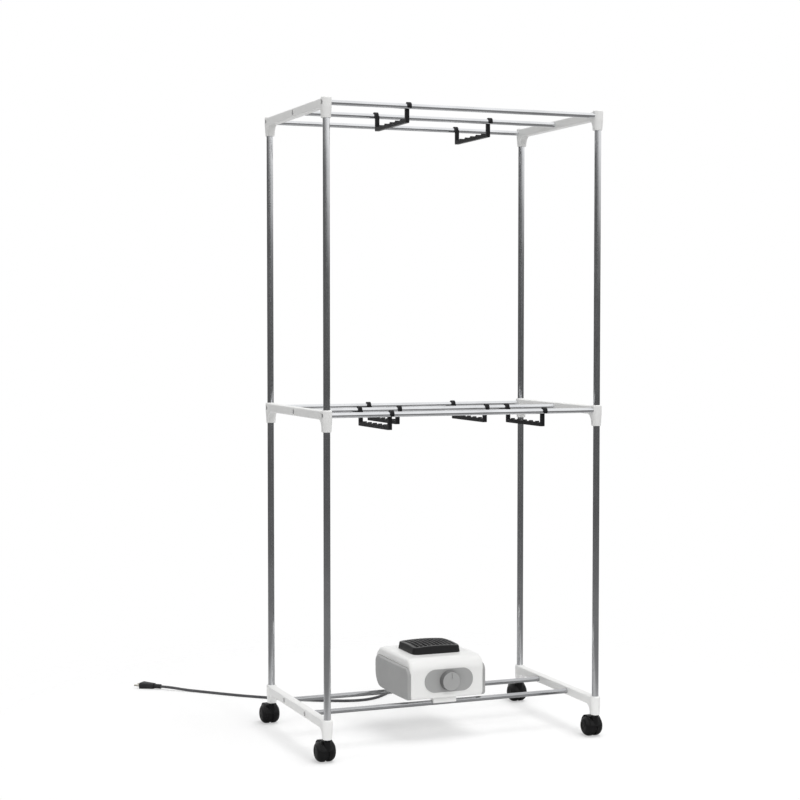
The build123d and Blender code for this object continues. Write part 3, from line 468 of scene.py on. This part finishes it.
def screw_height(radius, angle):
    swell = math.sqrt(max(0.0, 1 - (radius / SCREW_HEAD_RADIUS) ** 2))
    height = SCREW_HEAD_EDGE + (SCREW_HEAD_RISE - SCREW_HEAD_EDGE) * swell
    arm = min(abs(radius * math.cos(angle)), abs(radius * math.sin(angle)))
    in_cross = arm < CROSS_HALF_WIDTH and radius < CROSS_REACH
    return height - CROSS_DEPTH if in_cross else height


def add_screw(shape, side, y, z, twist):
    def spot(radius, height, angle):
        turned = angle + twist
        x = side * (SCREW_SEAT_X + height)
        return shape.verts.new((x, y + radius * math.cos(turned), z + radius * math.sin(turned)))

    angles = [2 * math.pi * sector / SCREW_SECTORS for sector in range(SCREW_SECTORS)]
    rings = []
    for radius, height in (
        (SCREW_SHANK_RADIUS, -SCREW_SHANK_LENGTH),
        (SCREW_SHANK_RADIUS, 0.0),
        (SCREW_HEAD_RADIUS, 0.0),
    ):
        rings.append([spot(radius, height, angle) for angle in angles])
    for ring in range(SCREW_RINGS, 0, -1):
        radius = SCREW_HEAD_RADIUS * ring / SCREW_RINGS
        rings.append([spot(radius, screw_height(radius, angle), angle) for angle in angles])
    skin(shape, rings)


screw_shape = bmesh.new()
screw_count = 0
for side in (-1, 1):
    for z, row in RAIL_ROWS.items():
        for y in row:
            add_screw(screw_shape, side, y, z, SCREW_TWIST * screw_count)
            screw_count += 1
new_piece("cross_screws", screw_shape, "rail_screws", "screw_steel")

# Coil tie: a flat strap round both layers of the coil, its end laid over its start
TIE_PLACE = (0.16542, 0.41388, 0.00885)
TIE_OUT = (-0.9063, -0.4226)
TIE_HALF_WIDTH = 0.0050
TIE_HALF_HEIGHT = 0.0083
TIE_CORNER = 0.0036
TIE_SQUARENESS = 2.2
TIE_STEPS = 96

# Strap: its section, with edges that are chamfered by shares of its width and thickness
STRAP_HALF_WIDTH = 0.0044
STRAP_THICKNESS = 0.0009
STRAP_FLAT = 0.94
STRAP_EDGE = 0.3
STRAP_SECTION = (
    (-1, -STRAP_EDGE),
    (-STRAP_FLAT, -1),
    (STRAP_FLAT, -1),
    (1, -STRAP_EDGE),
    (1, STRAP_EDGE),
    (STRAP_FLAT, 1),
    (-STRAP_FLAT, 1),
    (-1, STRAP_EDGE),
)

# Lap: its length, and where and how fast it climbs, in turns, and its climb in thicknesses
LAP_TURNS = 0.22
LAP_CLIMB_FROM = 0.90
LAP_CLIMB_TURNS = 0.10
LAP_CLIMB = 1.1


def tie_spot(turn):
    """A point on the tie's rounded loop, and the way out of the loop there."""
    angle = 2 * math.pi * turn
    out = (math.cos(angle), math.sin(angle))
    spot = []
    for part, half in zip(out, (TIE_HALF_WIDTH, TIE_HALF_HEIGHT)):
        flattened = max(-1.0, min(1.0, TIE_SQUARENESS * part))
        spot.append((half - TIE_CORNER) * flattened + TIE_CORNER * part)
    return spot, out


def strap_ring(shape, turn):
    """The strap's section where it has gone this many turns round the coil."""
    spot, out = tie_spot(turn - LAP_TURNS / 2)
    climb = LAP_CLIMB * STRAP_THICKNESS * smooth_step((turn - LAP_CLIMB_FROM) / LAP_CLIMB_TURNS)
    ring = []
    for across_share, through_share in STRAP_SECTION:
        across = across_share * STRAP_HALF_WIDTH
        reach = through_share * STRAP_THICKNESS / 2 + climb
        sideways = spot[0] + out[0] * reach
        up = spot[1] + out[1] * reach
        x = TIE_PLACE[0] + TIE_OUT[0] * sideways - TIE_OUT[1] * across
        y = TIE_PLACE[1] + TIE_OUT[1] * sideways + TIE_OUT[0] * across
        ring.append(shape.verts.new((x, y, TIE_PLACE[2] + up)))
    return ring


tie_shape = bmesh.new()
tie_turns = 1 + LAP_TURNS
skin(tie_shape, [strap_ring(tie_shape, tie_turns * step / TIE_STEPS) for step in range(TIE_STEPS + 1)])
strap = new_piece("coil_strap", tie_shape, "coil_tie", "tie_plastic")

# Mains cord: one smooth line led by the route's points, the coil's turns among them
CORD_DIAMETER = 0.007
CORD_STEPS_PER_POINT = 5
CORD_BEVEL_STEPS = 4
GLAND_TIP = (0.060, 0.167, 0.147)
COIL_MIDDLE = (0.200, 0.430)
COIL_INNER_RADIUS = 0.0342
COIL_TURNS = 2.25
COIL_PITCH = 0.0078
COIL_REVERSAL = 0.08
COIL_FLOOR = 0.0050
COIL_LAYER = 0.0077
COIL_CLIMB_TURNS = 0.5
COIL_POINTS_PER_TURN = 16

to_coil = [
    GLAND_TIP,
    (0.060, 0.197, 0.147),
    (0.068, 0.228, 0.125),
    (0.087, 0.250, 0.090),
    (0.111, 0.272, 0.051),
    (0.141, 0.297, 0.020),
    (0.176, 0.323, 0.005),
    (0.209, 0.350, 0.004),
    (0.241, 0.393, 0.005),
]
to_plug = [
    (0.163, 0.473, 0.0127),
    (0.130, 0.472, 0.0075),
    (0.102, 0.462, 0.0040),
    (0.079, 0.447, 0.0035),
    (0.060, 0.430, 0.0035),
    (0.038, 0.408, 0.0035),
    (0.008, 0.381, 0.0035),
    (-0.031, 0.364, 0.0035),
    (-0.074, 0.368, 0.0035),
    (-0.121, 0.389, 0.0035),
    (-0.168, 0.414, 0.0035),
    (-0.215, 0.448, 0.0035),
    (-0.263, 0.487, 0.0035),
    (-0.318, 0.535, 0.0035),
    (-0.362, 0.580, 0.0035),
    (-0.402, 0.623, 0.0035),
    (-0.437, 0.656, 0.0042),
    (-0.470, 0.685, 0.0080),
    (-0.492, 0.7055, 0.0080),
]


def coil_point(turn):
    """Spirals in and out again, and climbs to the second layer where the spiral reverses."""
    from_reversal = turn - COIL_TURNS / 2
    radius = COIL_INNER_RADIUS + COIL_PITCH * math.hypot(from_reversal, COIL_REVERSAL)
    angle = 2 * math.pi * turn
    x = COIL_MIDDLE[0] + radius * math.cos(angle)
    y = COIL_MIDDLE[1] + radius * math.sin(angle)
    return (x, y, COIL_FLOOR + COIL_LAYER * smooth_step(from_reversal / COIL_CLIMB_TURNS + 0.5))


coil_steps = round(COIL_TURNS * COIL_POINTS_PER_TURN)
coil = [coil_point(COIL_TURNS * step / coil_steps) for step in range(coil_steps + 1)]


def cord_curve(name, route, diameter):
    curve = bpy.data.curves.new(name, "CURVE")
    curve.dimensions = "3D"
    curve.bevel_depth = diameter / 2
    curve.bevel_resolution = CORD_BEVEL_STEPS
    curve.resolution_u = CORD_STEPS_PER_POINT
    curve.use_fill_caps = True
    spline = curve.splines.new("NURBS")
    spline.points.add(len(route) - 1)
    for point, place in zip(spline.points, route):
        point.co = (*place, 1)
    spline.order_u = 3
    spline.use_endpoint_u = True
    return add_object(name, curve)


cord = cord_curve("mains_cord", to_coil + coil + to_plug, CORD_DIAMETER)
paint(cord, looks["cord_rubber"])
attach(cord, "frame")
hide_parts("cord_from_heater", "cord_coil", "cord_to_plug")

# Floor: a pale disc that fades into the white surroundings, and is dimmer where metal reflects it
FLOOR_PLACE = (0.0, 0.15, -0.0002)
FLOOR_RADIUS = 1.25
FLOOR_FADES_FROM = 0.55 * FLOOR_RADIUS
FLOOR_SEGMENTS = 96
FLOOR_TONE = (0.98, 0.98, 0.98, 1)

# Floor's shares: how much plain white the camera sees on it, and how much of its light metal reflects
FLOOR_WHITENED = 0.40
FLOOR_REFLECTED = 0.45


def floor_material():
    material = bpy.data.materials.new("floor")
    material.use_nodes = True
    material.node_tree.nodes.clear()
    floor_nodes = NodeTree(material.node_tree)
    rays = floor_nodes.add("ShaderNodeLightPath").outputs
    pale = floor_nodes.add("ShaderNodeBsdfDiffuse")
    floor_nodes.feed(pale.inputs["Color"], FLOOR_TONE)
    white = floor_nodes.add("ShaderNodeEmission")
    to_camera = floor_nodes.math("MULTIPLY", rays["Is Camera Ray"], FLOOR_WHITENED)
    lit = floor_nodes.mix_shaders(to_camera, pale.outputs["BSDF"], white.outputs["Emission"])
    dark = floor_nodes.add("ShaderNodeBsdfDiffuse")
    floor_nodes.feed(dark.inputs["Color"], (0, 0, 0, 1))
    to_metal = floor_nodes.math("MULTIPLY", rays["Is Glossy Ray"], 1 - FLOOR_REFLECTED)
    seen = floor_nodes.mix_shaders(to_metal, lit, dark.outputs["BSDF"])
    clear = floor_nodes.add("ShaderNodeBsdfTransparent")
    distance = floor_nodes.length(floor_nodes.add("ShaderNodeTexCoord").outputs["Object"])
    fade = floor_nodes.span(distance, FLOOR_FADES_FROM, FLOOR_RADIUS, shape="SMOOTHSTEP")
    faded = floor_nodes.mix_shaders(fade, seen, clear.outputs["BSDF"])
    output = floor_nodes.add("ShaderNodeOutputMaterial")
    floor_nodes.feed(output.inputs["Surface"], faded)
    return material


floor_mesh = bpy.data.meshes.new("floor")
floor_shape = bmesh.new()
bmesh.ops.create_circle(floor_shape, cap_ends=True, segments=FLOOR_SEGMENTS, radius=FLOOR_RADIUS)
floor_shape.to_mesh(floor_mesh)
floor_shape.free()
floor_mesh.materials.append(floor_material())
floor = add_object("floor", floor_mesh)
floor.location = FLOOR_PLACE

# World: white to the camera, a soft fill, and for reflections a studio with a dark band round the camera
FILL_STRENGTH = 0.45
STUDIO_DARK = 0.10
STUDIO_BELOW = 0.22
UP_HEADING = (0.0, 0.0, 1.0)
BACK_HEADING = (0.371, 0.928, 0.0)
RIGHT_HEADING = (0.928, -0.371, 0.0)
BAND_TILT = 0.04

# Zones of the studio: where each starts and where it is full, as the share of a direction along its heading
BACK_ZONE = (0.70, 0.92)
ABOVE_ZONE = (0.05, 0.16)
BELOW_ZONE = (-0.05, -0.20)

world = bpy.data.worlds.new("studio")
bpy.context.scene.world = world
world.use_nodes = True
world.node_tree.nodes.clear()
sky = NodeTree(world.node_tree)
direction = sky.add("ShaderNodeTexCoord").outputs["Generated"]
height = sky.dot(direction, UP_HEADING)
tilt = sky.math("MULTIPLY", sky.dot(direction, RIGHT_HEADING), BAND_TILT)
back = sky.span(sky.dot(direction, BACK_HEADING), *BACK_ZONE, shape="SMOOTHSTEP")
above = sky.span(sky.math("ADD", height, tilt), *ABOVE_ZONE, shape="SMOOTHSTEP")
below = sky.span(height, *BELOW_ZONE, high=STUDIO_BELOW, shape="SMOOTHSTEP")
bright = sky.math("MAXIMUM", sky.math("MAXIMUM", back, above), below)
studio = sky.math("MAXIMUM", bright, STUDIO_DARK)
sky_rays = sky.add("ShaderNodeLightPath").outputs
shiny = sky.math("MAXIMUM", sky_rays["Is Glossy Ray"], sky_rays["Is Transmission Ray"])
reflected = sky.math("MULTIPLY", shiny, studio)
fill = sky.math("MULTIPLY", sky.math("SUBTRACT", 1.0, shiny), FILL_STRENGTH)
strength = sky.math("MAXIMUM", sky.math("ADD", reflected, fill), sky_rays["Is Camera Ray"])
background = sky.add("ShaderNodeBackground")
sky.feed(background.inputs["Color"], (1, 1, 1, 1))
sky.feed(background.inputs["Strength"], strength)
sky_output = sky.add("ShaderNodeOutputWorld")
sky.feed(sky_output.inputs["Surface"], background.outputs["Background"])


# Lamps: a large soft box high above, one at the front and a weak one at the left, with power in watts
def soft_box(name, place, aim, size, power):
    lamp = bpy.data.lights.new(name, "AREA")
    lamp.shape = "SQUARE"
    lamp.size = size
    lamp.energy = power
    thing = add_object(name, lamp)
    thing.visible_glossy = False
    thing.location = place
    thing.rotation_euler = (Vector(aim) - Vector(place)).to_track_quat("-Z", "Y").to_euler()


soft_box("top_box", place=(2.4, -1.2, 11.1), aim=(0, 0, 0.3), size=6.9, power=740)
soft_box("front_box", place=(0.4, -3.9, 2.5), aim=(0, 0, 0.8), size=1.6, power=50)
soft_box("left_box", place=(-3.9, -0.8, 1.1), aim=(0, 0, 0.3), size=1.6, power=28)

view_settings = bpy.context.scene.view_settings
view_settings.view_transform = "Standard"
